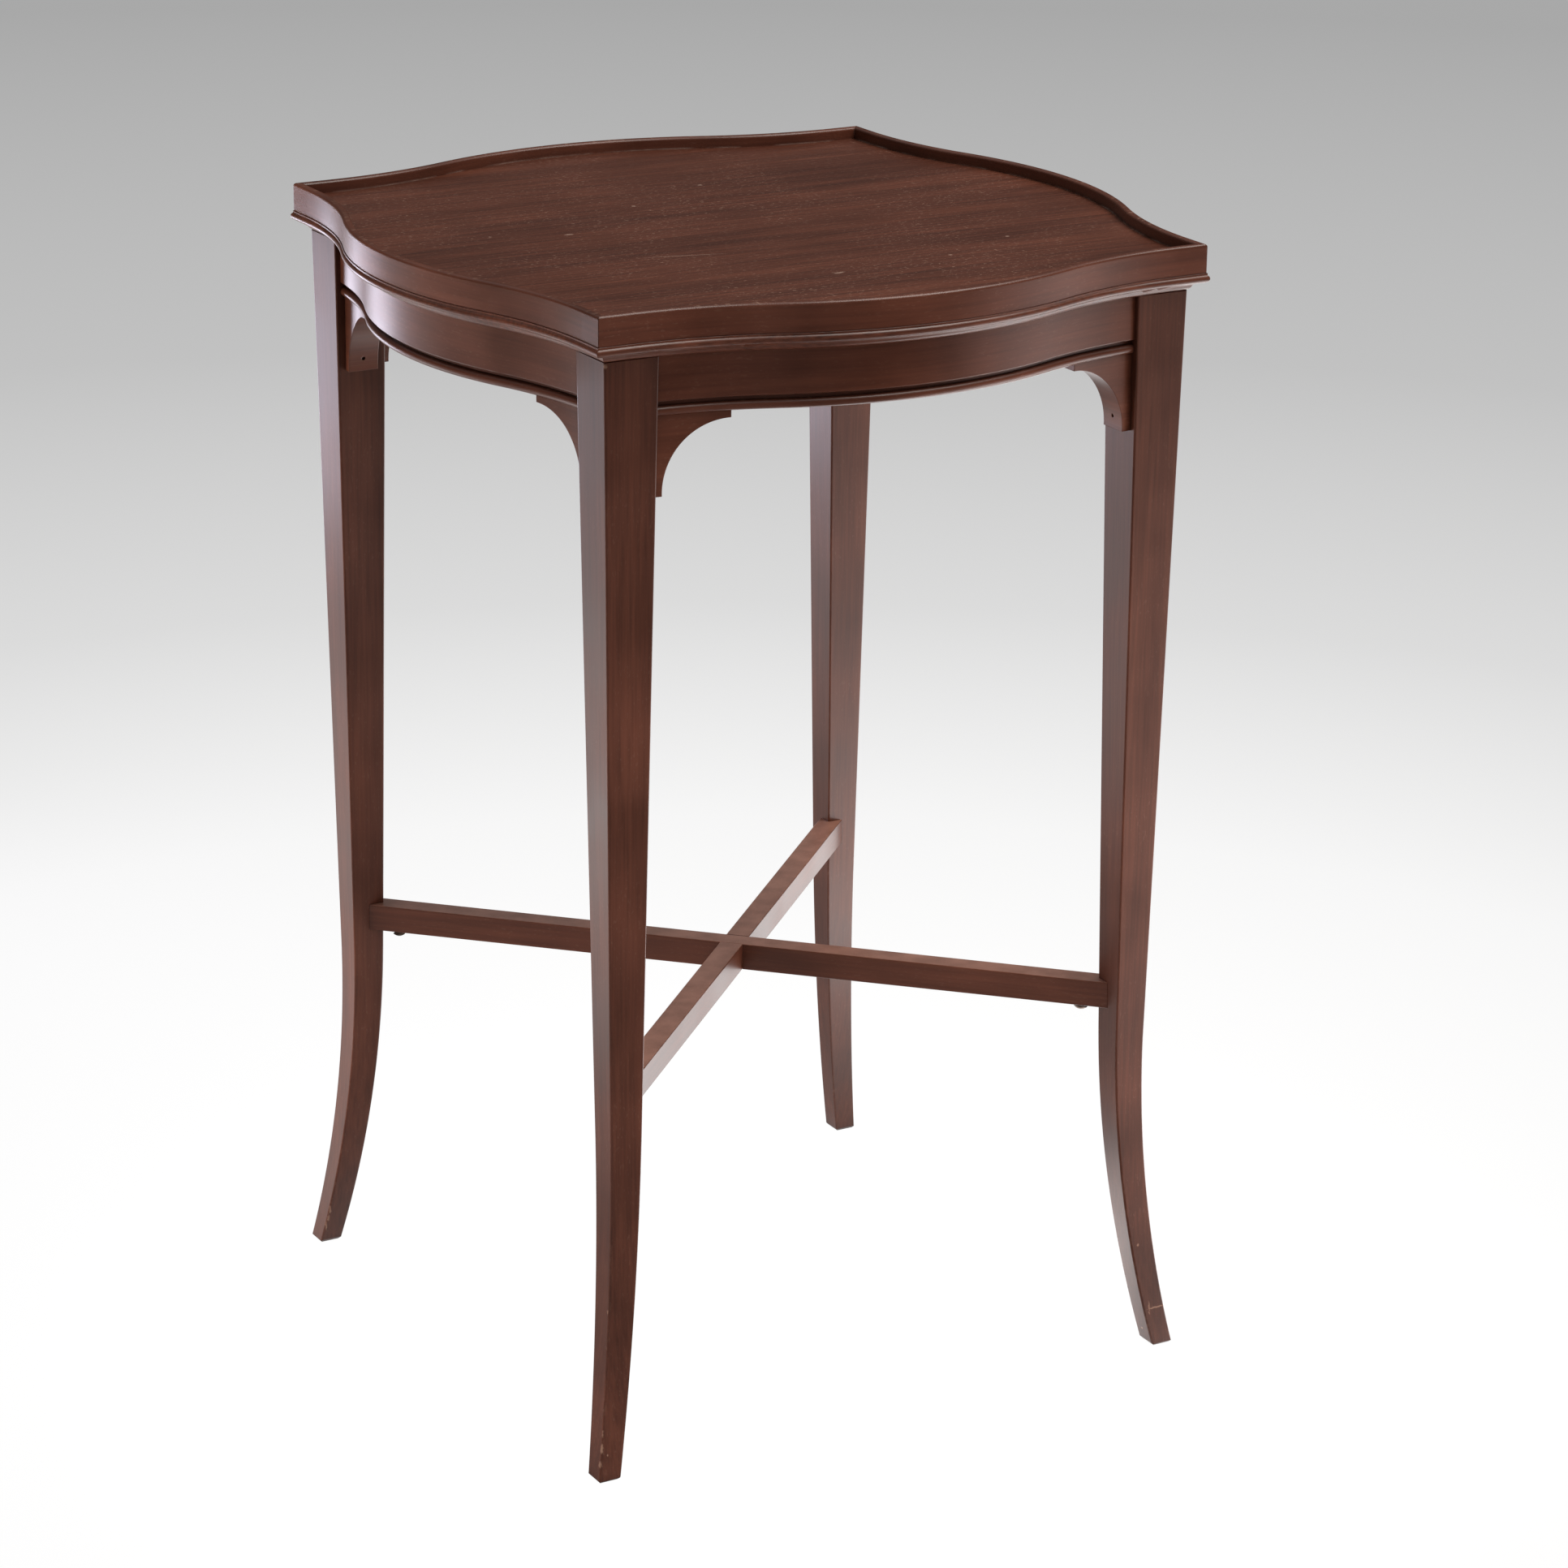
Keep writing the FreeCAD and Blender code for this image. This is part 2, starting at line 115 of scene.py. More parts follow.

# %% [markdown]
# ## Building up a finish
# A real finish goes on in coats: stain, toner, lacquer, polish, and then grime and wear. Some coats
# here are painted light and shade: darker hollows, pale glints in corners, paler rail tops and
# darker leg tops. Each coat is a tone that covers what is under it by some share, or a shade that
# it is multiplied with. One large shader for all of them would be hard to read, so every coat is
# made from these few steps.

# %% Ranges, ramps and coats
NOISE_BAND = (0.3, 0.7)  # where nearly all values of a noise lie


def ranged(tree, value, start, end, low=0.0, high=1.0):
    """Value that runs from low to high while another runs from start to end."""
    settings = {"From Min": start, "From Max": end, "To Min": low, "To Max": high}
    return add_node(tree, "ShaderNodeMapRange", settings, {"Value": value}).outputs["Result"]


def product(tree, shares):
    """Shares multiplied together."""
    result, *others = shares
    for share in others:
        both = {0: result, 1: share}
        result = add_node(tree, "ShaderNodeMath", {"operation": "MULTIPLY"}, both).outputs[0]
    return result


def ramp(tree, value, stops):
    """Colours that a value runs through; a stop is a position and a linear colour."""
    node = add_node(tree, "ShaderNodeValToRGB", {}, {"Fac": value})
    elements = node.color_ramp.elements
    for position, tone in stops[1:-1]:
        elements.new(position)
    for element, (position, tone) in zip(elements, stops):
        element.position = position
        element.color = tone
    return node.outputs["Color"]


def shaded(tree, under, share):
    """Colour multiplied with a share."""
    settings = {"data_type": "RGBA", "blend_type": "MULTIPLY", 0: 1.0}
    return add_node(tree, "ShaderNodeMix", settings, {6: under, 7: share}).outputs[2]


def covered(tree, under, tone, share):
    """Colour covered with a tone, by a share."""
    settings = {"data_type": "RGBA", 7: colour(tone)}
    return add_node(tree, "ShaderNodeMix", settings, {0: share, 6: under}).outputs[2]


def recolour(tree, coat, *coat_values):
    """Put one more coat, shaded or covered, on the colour that a finish has so far."""
    colour_in = tree.nodes["Principled BSDF"].inputs["Base Color"]
    tree.links.new(coat(tree, colour_in.links[0].from_socket, *coat_values), colour_in)


print("noise runs from", NOISE_BAND[0], "to", NOISE_BAND[1])

# %% [markdown]
# ## Mahogany grain
# The table is stained mahogany. Mahogany is even and fine: a soft ribbon of light and dark along
# the grain, thin streaks about a millimetre and a half apart, and short open pores. The figure is
# noise that is stretched along the grain, so it fits every piece. The gallery and the aprons are
# strips bent to the bow, so their figure runs on round the bend.

# %% Grain patterns
GRAIN = {  # mm along the grain, mm across it, and detail
    "ribbon": (300.0, 26.0, 3.0),
    "streak": (60.0, 1.6, 4.0),
    "fleck": (3.2, 1.0, 1.0),  # real pores are finer, and would not show
    "rub": (5.0, 5.0, 3.0),  # rubbed spots along an arris
    "cloud": (60.0, 60.0, 2.0),  # uneven patches in the toner and the lacquer
}
BEND_DEPTH = 400.0  # mm, so large that the figure does not change through a bent strip


def grain_patterns(tree, grain_turn, bent):
    """Noise patterns with the grain along X after a turn, and the place that they are read at."""
    place = place_on(tree)
    turned = add_node(tree, "ShaderNodeMapping", {"Rotation": grain_turn}, {"Vector": place})
    patterns = {"place": place}
    for name, (along, across, detail) in GRAIN.items():
        depth = BEND_DEPTH if bent and along > across else across
        noise = noise_of(tree, turned.outputs["Vector"], (along, depth, across), detail)
        patterns[name] = noise.outputs["Fac"]
    return patterns


print("grain sizes in mm:", {name: sizes[:2] for name, sizes in GRAIN.items()})

# %% [markdown]
# ## Stain and waxed pores
# The stain is a dark red brown that varies a little with the ribbon, and more from streak to
# streak. Dark toner was sprayed over it by hand, so it lies in soft clouds. Pale wax has stayed in
# the pores, in loose clusters, and most of it on faces that lie flat, where cloths have pushed it
# in.

# %% The stained wood
STAIN_STOPS = ((0.25, colour("#4d291d")), (0.75, colour("#683b2b")))
WAX_TONE = "#a88674"
WAX_SHARE = 0.65
WAX_PORES = (0.63, 0.73)  # part of the flecks that is pores
WAX_CLUSTERS, WAX_BETWEEN = (0.42, 0.6), 0.35  # part of the clouds, and the share between them
FLAT_FACES, WAX_UPRIGHT = (0.9, 0.99), 0.15  # upward part of a direction, and the share elsewhere


def stained_wood(tree, patterns, figure, toner):
    """Colour of the wood and its wax; figure and toner are how far the streaks and toner vary."""
    wood = ramp(tree, patterns["ribbon"], STAIN_STOPS)
    for name, depth in (("streak", figure), ("cloud", toner)):
        share = ranged(tree, patterns[name], *NOISE_BAND, 1 - depth, 1 + depth)
        wood = shaded(tree, wood, share)
    upward = z_of(tree, face_normal(tree))
    wax = (
        ranged(tree, patterns["fleck"], *WAX_PORES, 0.0, WAX_SHARE),
        ranged(tree, patterns["cloud"], *WAX_CLUSTERS, WAX_BETWEEN),
        ranged(tree, upward, *FLAT_FACES, WAX_UPRIGHT),
    )
    return covered(tree, wood, WAX_TONE, product(tree, wax))


print("wax fills the pores by up to", WAX_SHARE)

# %% [markdown]
# ## Old lacquer
# Lacquer gives the wood a soft gloss that has gone a little uneven. The corners of the mouldings
# are darkened, with grime and with painted shade, the arrises are slightly round, and on the feet
# they are rubbed through to paler wood. A Bevel node rounds the shading at an arris without
# touching the CAD mesh, and the angle between that rounded normal and the flat one tells where an
# arris is.

# %% The lacquer
LACQUER_IOR = 1.5
GLOSS_SPREAD = 0.04  # roughness either way
GRIME_AND_SHADE_REACH = 10.0  # mm
GRIME_AND_SHADE_OPENNESS, GRIME_AND_SHADE_SHARE = (0.35, 0.9), 0.7  # openness of places darkened by grime and painted shade, and their darkest shade
ARRIS_ROUND = 0.6  # mm
WORN_WIDTH = 2.0  # mm
WORN_LEAN = (0.99, 0.9)  # cosine of the lean where wear starts and where it is full
WORN_SPOTS = (0.54, 0.62)  # part of the rubbed spots that is worn
WORN_OPEN = (0.75, 0.95)  # openness of places that can be rubbed
WORN_TONE = "#a07a66"
WORN_HEIGHT = 200.0  # mm above the floor, where the wear of the feet fades out
WORN_ABOVE = 0.15  # share of the wear that is left above that height
GRAIN_RELIEF = 0.015  # mm
RELIEF_STRENGTH = 0.25  # how much of that relief shows


def old_lacquer(tree, shader, patterns, wood, wear, gloss):
    """Grime with painted shade in the hollows, wear, gloss and relief over the colour of the wood.
    """
    open_share = openness(tree, GRIME_AND_SHADE_REACH)
    # darker in hollows and corners: grime, and painted shade where shade falls
    grimed_and_shaded = shaded(tree, wood, ranged(tree, open_share, *GRIME_AND_SHADE_OPENNESS, GRIME_AND_SHADE_SHARE))

    normals = {0: rounded_normal(tree, WORN_WIDTH), 1: face_normal(tree)}
    lean = add_node(tree, "ShaderNodeVectorMath", {"operation": "DOT_PRODUCT"}, normals)
    height = z_of(tree, patterns["place"])
    worn = (
        ranged(tree, lean.outputs["Value"], *WORN_LEAN),
        ranged(tree, patterns["rub"], *WORN_SPOTS, 0.0, wear),
        ranged(tree, height, WORN_HEIGHT * MM, 0.0, WORN_ABOVE),
        ranged(tree, open_share, *WORN_OPEN),
    )
    rubbed = covered(tree, grimed_and_shaded, WORN_TONE, product(tree, worn))
    tree.links.new(rubbed, shader.inputs["Base Color"])

    gloss_ends = (gloss - GLOSS_SPREAD, gloss + GLOSS_SPREAD)
    uneven = ranged(tree, patterns["cloud"], *NOISE_BAND, *gloss_ends)
    tree.links.new(uneven, shader.inputs["Roughness"])
    shader.inputs["IOR"].default_value = LACQUER_IOR
    relief = add_node(
        tree,
        "ShaderNodeBump",
        {"Strength": RELIEF_STRENGTH, "Distance": GRAIN_RELIEF * MM},
        {"Height": patterns["streak"], "Normal": rounded_normal(tree, ARRIS_ROUND)},
    )
    tree.links.new(relief.outputs["Normal"], shader.inputs["Normal"])


print("lacquer wears up to", WORN_HEIGHT, "mm above the floor")

# %% [markdown]
# ## One mahogany for each grain direction
# The grain follows the length of each piece, so the finish is made once for each direction. Legs
# are the most worn, and the mouldings of the top hardly at all.


# %% Mahogany finishes
def lacquered_mahogany(name, grain_turn, bent, figure, toner, wear, gloss):
    """Stained and lacquered mahogany with its grain along X after a turn."""
    material, tree, shader = new_material("lacquered_mahogany_" + name)
    patterns = grain_patterns(tree, grain_turn, bent)
    wood = stained_wood(tree, patterns, figure, toner)
    old_lacquer(tree, shader, patterns, wood, wear, gloss)
    return material


def turn_about(x, y, z):
    """Turn in degrees, as a Mapping node takes it."""
    return tuple(math.radians(angle) for angle in (x, y, z))


ALONG_X, ALONG_Y, UPRIGHT = turn_about(0, 0, 0), turn_about(0, 0, -90), turn_about(0, 90, 0)
OVER_TURN, UNDER_TURN = turn_about(0, 0, 45), turn_about(0, 0, -45)
FINISHES = {  # turn of the grain, bent or not, figure, toner, wear and gloss
    "front_back": (ALONG_X, True, 0.16, 0.22, 0.0, 0.33),
    "left_right": (ALONG_Y, True, 0.16, 0.22, 0.0, 0.33),
    "leg": (UPRIGHT, False, 0.2, 0.22, 0.8, 0.34),
    "over": (OVER_TURN, False, 0.16, 0.15, 0.4, 0.34),
    "under": (UNDER_TURN, False, 0.16, 0.15, 0.4, 0.34),
    "tray": (ALONG_X, False, 0.36, 0.06, 0.0, 0.32),
}
mahogany = {name: lacquered_mahogany(name, *values) for name, values in FINISHES.items()}
print("mahogany finishes:", sorted(mahogany))

# %% [markdown]
# ## Marks of use
# A few nicks and scratches are large enough to see: pale ones on the tray floor, and browner ones
# on the feet and at the top of the front leg. Each is a small ellipsoid in the finish, at a place,
# with a turn about Z and with its half sizes, and noise makes its edge ragged.

# %% Nicks and scratches
NICK_TONE, CHIP_TONE = "#b79a8a", "#a9836e"
NICK_EDGE = 1.6  # mm by which noise makes the edge of a nick uneven
NICK_GRIT, NICK_DETAIL = 1.5, 2.0  # size of that unevenness in mm, and its detail
NICK_FADE = (1.0, 0.5)  # from the edge of a nick to where it is full


def add_marks(material, tone, marks):
    """Pale marks in a finish: place in mm, turn in degrees, half sizes in mm and strength."""
    tree = material.node_tree
    place = place_on(tree)
    ragged = noise_of(tree, place, (NICK_GRIT,) * 3, NICK_DETAIL)
    uneven = add_node(
        tree,
        "ShaderNodeVectorMath",
        {"operation": "MULTIPLY_ADD", 1: (NICK_EDGE * MM,) * 3},
        {0: ragged.outputs["Color"], 2: place},
    )
    for at, turn, half_sizes, strength in marks:
        ellipsoid = {
            "vector_type": "TEXTURE",
            "Location": [(value + NICK_EDGE / 2) * MM for value in at],
            "Rotation": turn_about(0, 0, turn),
            "Scale": [size * MM for size in half_sizes],
        }
        local = add_node(tree, "ShaderNodeMapping", ellipsoid, {"Vector": uneven.outputs["Vector"]})
        away = add_node(
            tree, "ShaderNodeVectorMath", {"operation": "LENGTH"}, {0: local.outputs["Vector"]}
        )
        mark = ranged(tree, away.outputs["Value"], *NICK_FADE, 0.0, strength)
        recolour(tree, covered, tone, mark)


TRAY_MARKS = [
    ((-68.4, -57.8, 679.0), -14.0, (28.0, 0.7, 4.0), 0.5),
    ((-100.7, 21.4, 679.0), 0.0, (3.5, 1.6, 4.0), 0.7),
    ((-12.2, -135.7, 679.0), 10.0, (5.0, 1.5, 4.0), 0.6),
    ((-30.6, 73.3, 679.0), 0.0, (1.6, 1.6, 4.0), 0.7),
    ((67.2, -125.3, 679.0), 0.0, (1.4, 1.6, 4.0), 0.6),
    ((122.4, -98.4, 679.0), 0.0, (1.5, 1.5, 4.0), 0.6),
    ((33.6, 108.9, 679.0), 0.0, (1.8, 1.8, 4.0), 0.6),
    ((-144.0, 36.3, 679.0), 0.0, (1.2, 1.2, 4.0), 0.6),
]
LEG_MARKS = [
    ((-187.5, -187.5, 656.3), 0.0, (1.3, 1.3, 1.5), 0.7),
    ((-193.6, -193.6, 30.0), 0.0, (0.8, 0.8, 4.0), 0.6),
    ((-194.8, -194.6, 20.0), 0.0, (1.1, 1.1, 6.0), 0.8),
    ((-196.0, -195.6, 10.5), 0.0, (1.4, 1.4, 3.0), 0.8),
    ((-191.5, -195.3, 16.0), 0.0, (0.8, 1.0, 0.9), 0.7),
    ((-185.2, -183.8, 100.1), 0.0, (1.0, 1.0, 1.6), 0.6),
    ((182.5, -189.0, 9.1), 0.0, (2.0, 1.5, 1.0), 0.7),
    ((189.0, -194.5, 23.9), 0.0, (8.0, 2.0, 0.7), 0.6),
    ((177.5, -188.7, 65.5), 0.0, (1.0, 2.0, 1.0), 0.6),
    ((183.5, -194.0, 18.0), 0.0, (1.0, 1.0, 12.0), 0.8),
    ((-193.6, 179.6, 24.0), 0.0, (0.8, 0.9, 3.8), 0.8),
    ((-194.5, 180.7, 18.0), 0.0, (0.8, 0.9, 3.8), 0.8),
    ((-195.6, 182.0, 12.0), 0.0, (0.8, 0.9, 3.8), 0.8),
]
add_marks(mahogany["tray"], NICK_TONE, TRAY_MARKS)
add_marks(mahogany["leg"], CHIP_TONE, LEG_MARKS)
print("marks on the tray and legs:", len(TRAY_MARKS), len(LEG_MARKS))

# %% [markdown]
# ## Dried polish, with a painted highlight
# Polish has dried in the corner where the tray floor meets the gallery, and its glint is painted
# into the colour as a thin pale line, in dashes: a painted highlight. A line painted round the tray
# would have to follow the bow, but a hollow within a very short reach is found by the same node
# that places the grime and the painted shade.

# %% Painted highlight of the dried polish round the tray
# The pale tone is a painted highlight: polish in the corner catching the light.
POLISH_GLINT_TONE = "#a08a80"
POLISH_GLINT_REACH = 1.4  # mm
POLISH_GLINT_FROM = 674.0  # mm above the floor, so that only the inside of the tray has it
POLISH_GLINT_FADE = 1.0  # mm over which it sets in
POLISH_GLINT_OPENNESS = (0.85, 0.6)  # openness where the painted highlight starts and where it is full
DASH_SIZE, DASH_DETAIL = 16.0, 3.0  # size of the dashes in mm, and detail of their noise
DASHES, DASH_SHARE = (0.4, 0.65), 0.5  # part of that noise that is dashes, and their share


def polish_with_painted_glint(material):
    """Painted highlight of polish, in pale dashes in the corners of the tray, above a height."""
    tree = material.node_tree
    place = place_on(tree)
    dashes = noise_of(tree, place, (DASH_SIZE,) * 3, DASH_DETAIL)
    polish = (
        ranged(tree, openness(tree, POLISH_GLINT_REACH), *POLISH_GLINT_OPENNESS),
        ranged(tree, dashes.outputs["Fac"], *DASHES, 0.0, DASH_SHARE),
        ranged(tree, z_of(tree, place), POLISH_GLINT_FROM * MM, (POLISH_GLINT_FROM + POLISH_GLINT_FADE) * MM),
    )
    # pale painted highlight where the polish lies
    recolour(tree, covered, POLISH_GLINT_TONE, product(tree, polish))


for name in ("tray", "front_back", "left_right"):
    polish_with_painted_glint(mahogany[name])
print("dried polish reaches", POLISH_GLINT_REACH, "mm from a corner")

# %% [markdown]
# ## Painted light on the rails
# The tops of the stretcher rails are painted paler than their sides, in patches: painted light from
# above. The tops could be a finish of their own, but a rail is one mesh with one finish, and the
# direction of a face tells its top from its sides.

# %% Painted light on the tops of the rails
# The pale tone is painted light on the faces that look up.
RAIL_TOP_LIGHT_TONE = "#bc8a78"
TOP_LIGHT_PATCH_SIZE, TOP_LIGHT_PATCH_DETAIL = 14.0, 4.0  # size of the patches in mm, and detail of their noise
TOP_LIGHT_SHARES = (0.45, 0.85)  # least and most of the painted light in its patches
TOP_FACES = (0.6, 0.95)  # upward part of a direction, where the painted light starts and where it is full


def painted_top_light(material):
    """Painted light, paler in patches, on the faces of a finish that look up."""
    tree = material.node_tree
    patches = noise_of(tree, place_on(tree), (TOP_LIGHT_PATCH_SIZE,) * 3, TOP_LIGHT_PATCH_DETAIL)
    rail_top_light = (
        ranged(tree, z_of(tree, face_normal(tree)), *TOP_FACES),
        ranged(tree, patches.outputs["Fac"], *NOISE_BAND, *TOP_LIGHT_SHARES),
    )
    # paler tops of the rails: painted light
    recolour(tree, covered, RAIL_TOP_LIGHT_TONE, product(tree, rail_top_light))


for name in ("over", "under"):
    painted_top_light(mahogany[name])
print("scuffs are about", TOP_LIGHT_PATCH_SIZE, "mm wide")

# %% [markdown]
# ## Painted shade on the leg tops
# High on the legs, under the top and the aprons, the finish is darkened with painted shade. It has
# no edge, so the height above the floor shades the finish smoothly.

# %% Painted shade on the tops of the legs
LEG_TOP_SHADE = (400.0, 620.0)  # mm above the floor, where the painted shade starts and where it is full
LEG_TOP_SHADE_SHARE = 0.68


def painted_top_shade(material):
    """Painted shade, darker towards the top of a finish."""
    tree = material.node_tree
    height = z_of(tree, place_on(tree))
    start, full = (value * MM for value in LEG_TOP_SHADE)
    # darker towards the top of the legs: painted shade
    recolour(tree, shaded, ranged(tree, height, start, full, 1.0, LEG_TOP_SHADE_SHARE))


painted_top_shade(mahogany["leg"])
print("legs darken above", LEG_TOP_SHADE[0], "mm")

# %% [markdown]
# ## Hidden wood and screws
# The corner blocks and dowels are plain beech that was never polished, so they are dull and pale
# brown. The screws and pins are blackened steel, browned by the toner that was sprayed over them.

# %% Plain beech and blackened steel
BEECH_GRAIN = (25.0, 1.5)  # mm along and across
STEEL_GRIT = (1.5, 1.5)
PLAIN_DETAIL = 3.0
PLAIN_RELIEF, PLAIN_STRENGTH = 0.1, 0.3  # depth in mm, and how much of it shows


def plain_finish(name, grain, tones, metallic, roughness):
    """Finish of two tones in a noise pattern, with a slight relief."""
    material, tree, shader = new_material(name)
    along, across = grain
    noise = noise_of(tree, place_on(tree), (along, across, across), PLAIN_DETAIL).outputs["Fac"]
    dark, light = (colour(tone) for tone in tones)
    tree.links.new(ramp(tree, noise, ((0, dark), (1, light))), shader.inputs["Base Color"])
    settings = {"Strength": PLAIN_STRENGTH, "Distance": PLAIN_RELIEF * MM}
    relief = add_node(tree, "ShaderNodeBump", settings, {"Height": noise})
    tree.links.new(relief.outputs["Normal"], shader.inputs["Normal"])
    shader.inputs["Metallic"].default_value = metallic
    shader.inputs["Roughness"].default_value = roughness
    return material


beech = plain_finish("plain_beech", BEECH_GRAIN, ("#7a5a3e", "#a98663"), 0.0, 0.75)
steel = plain_finish("blackened_steel", STEEL_GRIT, ("#24170f", "#6e5443"), 1.0, 0.45)
print("hidden finishes:", beech.name, steel.name)

# %% [markdown]
# ## A finish for every piece
# The name of a piece says where it is, and that gives the direction of its grain: front and back
# pieces run along X, left and right ones along Y, legs upright, and the stretcher rails along the
# diagonals. A CAD piece keeps its mesh, and only its material slot changes.


# %% Give each piece its finish
def finish_for(name):
    """Material for a piece, from its name."""
    words = name.split("_")
    if name.startswith("corner_block") or name == "apron_dowels":
        return beech
    if words[-1] in ("screws", "pins"):
        return steel
    if name == "top_board":
        return mahogany["tray"]
    if words[0] == "leg":
        return mahogany["leg"]
    if words[0] == "stretcher":
        return mahogany[words[1]]
    side = words[2] if words[1] == "bead" else words[1]
    return mahogany["front_back" if side in ("front", "back") else "left_right"]


for name, piece in nodes.items():
    piece.data.materials.clear()
    piece.data.materials.append(finish_for(name))
print("finishes used:", sorted({piece.data.materials[0].name for piece in nodes.values()}))

# %% [markdown]
# ## Studio floor
# The table stands on a pale floor that runs away into the distance and falls off from white to
# grey. A curved backdrop would do too, but one large disc has no seam from any side. Its paper has
# an ordinary matt shader, which takes light and shadow, and a shade of its own that falls off with
# the distance from the table.

# %% Floor
FLOOR_RADIUS = 14.0  # metres
bpy.ops.object.select_all(action="DESELECT")
bpy.ops.mesh.primitive_circle_add(vertices=96, radius=FLOOR_RADIUS, fill_type="NGON")
floor = bpy.context.object
floor.name = "studio_floor"
paper, paper_tree, paper_shader = new_material("studio_paper")
paper_shader.inputs["Base Color"].default_value = colour("#e8e8e8")
paper_shader.inputs["Roughness"].default_value = 0.9
paper_shader.inputs["Specular IOR Level"].default_value = 0.0
floor.data.materials.append(paper)
print("floor radius:", floor.dimensions.x / 2)

# %% Shade of the floor
SHADE_REACH = 5.0  # metres over which the floor falls off
SHADES = (
    (0.06, "#ffffff"),
    (0.18, "#f3f3f3"),
    (0.3, "#d8d8d8"),
    (0.5, "#bebebe"),
    (0.95, "#a5a5a5"),
)  # share of that reach, and the shade there
SHADE_STRENGTH = 1.07


def distance_of(vector):
    """Length of a vector on the floor."""
    settings = {"operation": "LENGTH"}
    return add_node(paper_tree, "ShaderNodeVectorMath", settings, {0: vector}).outputs["Value"]


paper_place = place_on(paper_tree)
paper_far = distance_of(paper_place)
shade_stops = [(position, colour(shade)) for position, shade in SHADES]
paper_shade = ramp(paper_tree, ranged(paper_tree, paper_far, 0.0, SHADE_REACH), shade_stops)
seen_paper = add_node(
    paper_tree, "ShaderNodeEmission", {"Strength": SHADE_STRENGTH}, {"Color": paper_shade}
)
print("floor falls off over", SHADE_REACH, "m")

# %% [markdown]
# ## What the polish mirrors
# The polish shows the floor as well, and there the studio is not the same all round: it is bright
# behind the table and to its right, dim to the left and darkest in front, and the table's own
# shadow lies just behind it. The bearing round the table and the distance from that shadow set the
# shade that glossy rays see.

# %% The mirrored floor
GLOW_BY_BEARING = (
    (-180, 0.1), (-62, 0.35), (-54, 0.75), (-47, 1.7), (-37, 3.6), (-30, 0.74), (-15, 1.4),
    (0, 1.3), (40, 1.6), (60, 2.5), (80, 2.5), (100, 4.0), (120, 4.0), (140, 0.6), (155, 0.1),
    (180, 0.08),
)  # degrees from the back, to the right
SHADOW_MIDDLE, SHADOW_SIZE = (0.0, 0.5, 0.0), (0.6, 0.7, 1.0)
SHADOW_EDGE, SHADOW_SHARE = (0.5, 1.2), 0.2  # in sizes of the shadow, and its darkest share
GLOW_REACH, GLOW_SHARES = (0.3, 2.0), (1.6, 0.3)  # metres from the table, and the shares there
axes = add_node(paper_tree, "ShaderNodeSeparateXYZ", {}, {"Vector": paper_place}).outputs
bearing = add_node(
    paper_tree, "ShaderNodeMath", {"operation": "ARCTAN2"}, {0: axes["X"], 1: axes["Y"]}
)
turn_share = ranged(paper_tree, bearing.outputs[0], -math.pi, math.pi)
glow_stops = [((turn + 180) / 360, (glow, glow, glow, 1)) for turn, glow in GLOW_BY_BEARING]
shadow_place = add_node(
    paper_tree,
    "ShaderNodeMapping",
    {"vector_type": "TEXTURE", "Location": SHADOW_MIDDLE, "Scale": SHADOW_SIZE},
    {"Vector": paper_place},
)
from_shadow = distance_of(shadow_place.outputs["Vector"])
mirrored = ramp(paper_tree, turn_share, glow_stops)
for share in (
    ranged(paper_tree, from_shadow, *SHADOW_EDGE, SHADOW_SHARE),
    ranged(paper_tree, paper_far, *GLOW_REACH, *GLOW_SHARES),
):
    mirrored = shaded(paper_tree, mirrored, share)
mirrored_paper = add_node(paper_tree, "ShaderNodeEmission", {}, {"Color": mirrored})
print("mirrored floor:", len(GLOW_BY_BEARING), "bearings")

# %% [markdown]
# ## Which rays see which floor
# The camera sees the paper's own shade, with a little of the lit paper in it so that the table
# still stands in its own soft shadow. Glossy rays see the mirrored floor, and all other light
# falls on ordinary matt paper. From below the floor is clear, so that the underside can be seen.

# %% Floor for each kind of ray
SEEN_SHARE = 0.92  # the rest is lit paper, which keeps the shadow


def either(share, shader, other_shader):
    """The other shader by a share, and the first one by the rest."""
    links = {0: share, 1: shader, 2: other_shader}
    return add_node(paper_tree, "ShaderNodeMixShader", {}, links).outputs[0]


lit_paper = paper_shader.outputs[0]
shaded_paper = add_node(
    paper_tree, "ShaderNodeMixShader", {0: SEEN_SHARE}, {1: lit_paper, 2: seen_paper.outputs[0]}
)
ray = add_node(paper_tree, "ShaderNodeLightPath", {}, {}).outputs
direct = add_node(
    paper_tree,
    "ShaderNodeMath",
    {"operation": "MAXIMUM"},
    {0: ray["Is Camera Ray"], 1: ray["Is Transmission Ray"]},
)
upper_side = either(direct.outputs[0], lit_paper, shaded_paper.outputs[0])
upper_side = either(ray["Is Glossy Ray"], upper_side, mirrored_paper.outputs[0])
below = add_node(paper_tree, "ShaderNodeNewGeometry", {}, {}).outputs["Backfacing"]
clear = add_node(paper_tree, "ShaderNodeBsdfTransparent", {}, {}).outputs[0]
paper_out = paper_tree.nodes["Material Output"]
paper_tree.links.new(either(below, upper_side, clear), paper_out.inputs["Surface"])
print("paper nodes:", len(paper_tree.nodes))

# %% [markdown]
# ## Light
# A large soft light hangs over the front right, which lights the tray and draws the bright streaks
# along the bead. Three weaker lights fill the left, front and right faces without a reflection of
# their own. Behind the table a narrow light gives the glare on the hollows of the left side, and a
# weak wide one shines on the tops of the stretcher rails.

# %% Lamps
AIM = Vector((0.0, 0.0, 0.4))
FILL_SPREAD = math.radians(100)  # narrow, so that the fill lights spill little on the floor


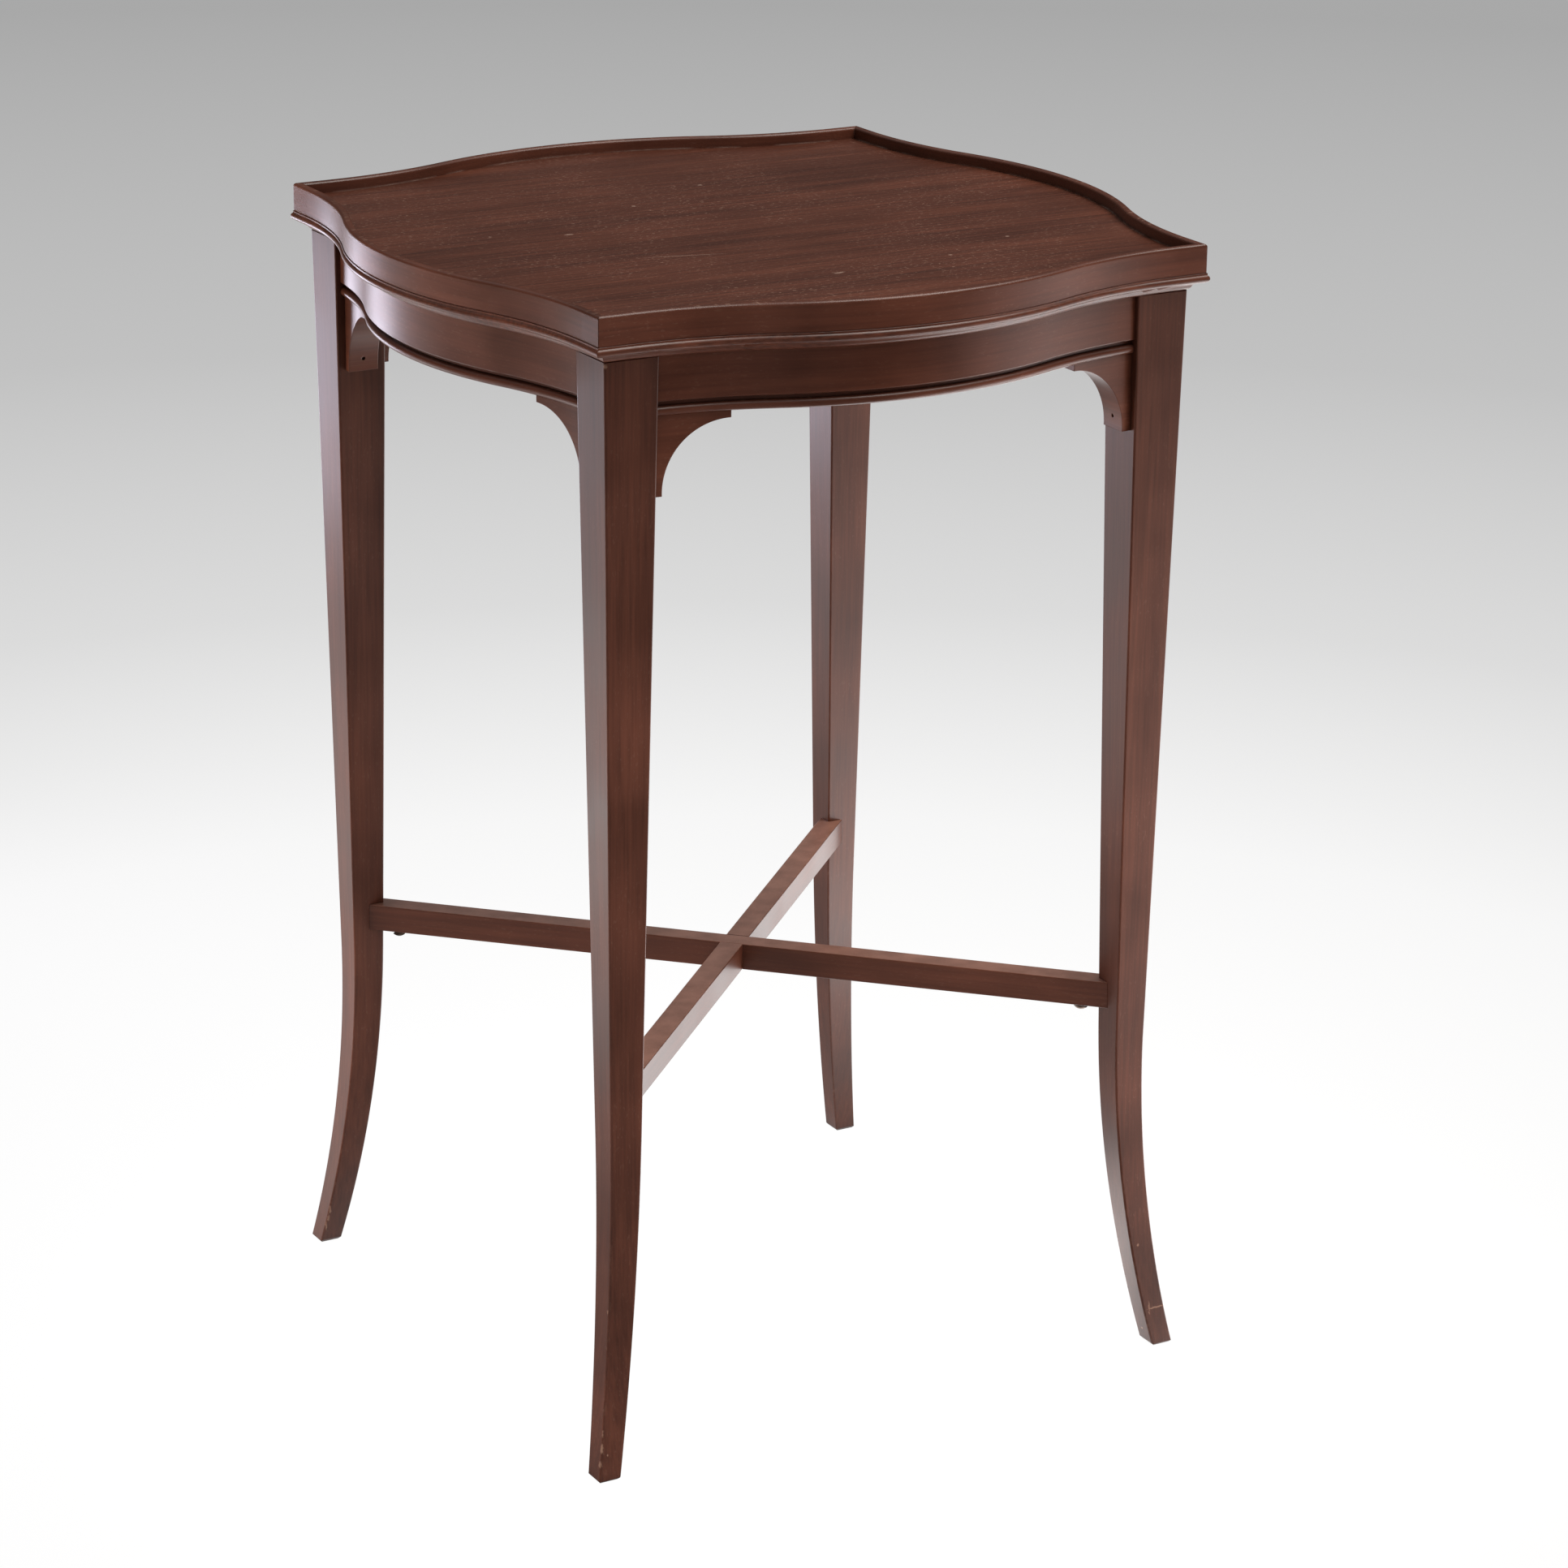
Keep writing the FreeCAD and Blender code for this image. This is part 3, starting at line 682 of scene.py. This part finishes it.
def soft_lamp(name, place, width, height, power, shine, tint):
    """Area lamp at a place, turned to the middle of the table; shine is whether polish shows it."""
    bpy.ops.object.light_add(type="AREA", location=place)
    lamp = bpy.context.object
    lamp.name = name
    lamp.rotation_euler = (AIM - Vector(place)).to_track_quat("-Z", "Y").to_euler()
    lamp.data.shape = "RECTANGLE"
    lamp.data.size = width
    lamp.data.size_y = height
    lamp.data.energy = power
    lamp.data.color = colour(tint)[:3]
    lamp.visible_glossy = shine
    if not shine:
        lamp.data.spread = FILL_SPREAD
    lamp.visible_camera = False
    return lamp


lamps = [
    soft_lamp("over_light", (0.77, -0.67, 2.24), 1.4, 1.0, 28, True, "#fff6ee"),
    soft_lamp("front_light", (-0.45, -1.2, 0.75), 0.5, 0.3, 0.45, False, "#fff4ea"),
    soft_lamp("right_light", (0.6, -0.7, 0.22), 0.4, 0.35, 1.25, False, "#fff4ea"),
    soft_lamp("left_light", (-1.4, 0.45, 0.25), 0.8, 0.5, 4.5, False, "#fff6f0"),
    soft_lamp("back_light", (-0.36, 1.05, 0.34), 0.26, 0.24, 1.8, True, "#f0ecff"),
    soft_lamp("rail_light", (0.35, 0.61, 0.47), 0.6, 0.3, 0.15, True, "#fff2ea"),
]
print("lamps:", [(lamp.name, round(lamp.data.energy, 2)) for lamp in lamps])

# %% [markdown]
# ## Sky
# The room above is dim near the horizon, because the tray mirrors that part, and lighter overhead.
# The camera sees the same grey as the far end of the floor, so no line shows between them.

# %% World
SKY_STOPS = ((0.35, colour("#383838")), (0.9, colour("#c8c8c8")))
world = bpy.data.worlds.new("studio")
bpy.context.scene.world = world
world.use_nodes = True
sky_tree = world.node_tree
sky_place = add_node(sky_tree, "ShaderNodeTexCoord", {}, {})
sky_shade = ramp(sky_tree, z_of(sky_tree, sky_place.outputs["Generated"]), SKY_STOPS)
sky_ray = add_node(sky_tree, "ShaderNodeLightPath", {}, {})
far_shade = SHADES[-1][1]
sky = covered(sky_tree, sky_shade, far_shade, sky_ray.outputs["Is Camera Ray"])
sky_tree.links.new(sky, sky_tree.nodes["Background"].inputs["Color"])
print("sky from horizon to overhead:", [position for position, shade in SKY_STOPS])

# %% [markdown]
# ## Camera
# The camera stands where the photograph was taken: thirty degrees to the left of the front side
# and nineteen degrees above level, about three metres away with a long lens.

# %% Camera at the photograph's angle
AZIMUTH, ELEVATION, ROLL = (math.radians(angle) for angle in (-30.004, 18.838, 0.598))
DISTANCE = 2.932265  # metres
TARGET = Vector((0.03398, 0.0, 0.328762))
FOCAL_SHARE = 5923.69 / 1932  # focal length in picture widths
SENSOR_WIDTH = 36  # mm
FAR_CLIP = 100  # metres
level = Vector((math.cos(AZIMUTH), math.sin(AZIMUTH), 0))
level_back = Vector((math.sin(AZIMUTH), -math.cos(AZIMUTH), 0))
back = level_back * math.cos(ELEVATION) + Vector((0, 0, math.sin(ELEVATION)))
upright = back.cross(level)
right = level * math.cos(ROLL) + upright * math.sin(ROLL)
above = upright * math.cos(ROLL) - level * math.sin(ROLL)
bpy.ops.object.camera_add()
camera = bpy.context.object
camera.name = "photo_camera"
turn = Matrix((right, above, back)).transposed().to_4x4()
camera.matrix_world = Matrix.Translation(TARGET + back * DISTANCE) @ turn
camera.data.sensor_width = SENSOR_WIDTH
camera.data.lens = SENSOR_WIDTH * FOCAL_SHARE
camera.data.clip_end = FAR_CLIP
bpy.context.scene.camera = camera
bpy.context.scene.view_settings.view_transform = "Standard"
print("camera at", [round(c, 3) for c in camera.location], "lens", round(camera.data.lens, 2))
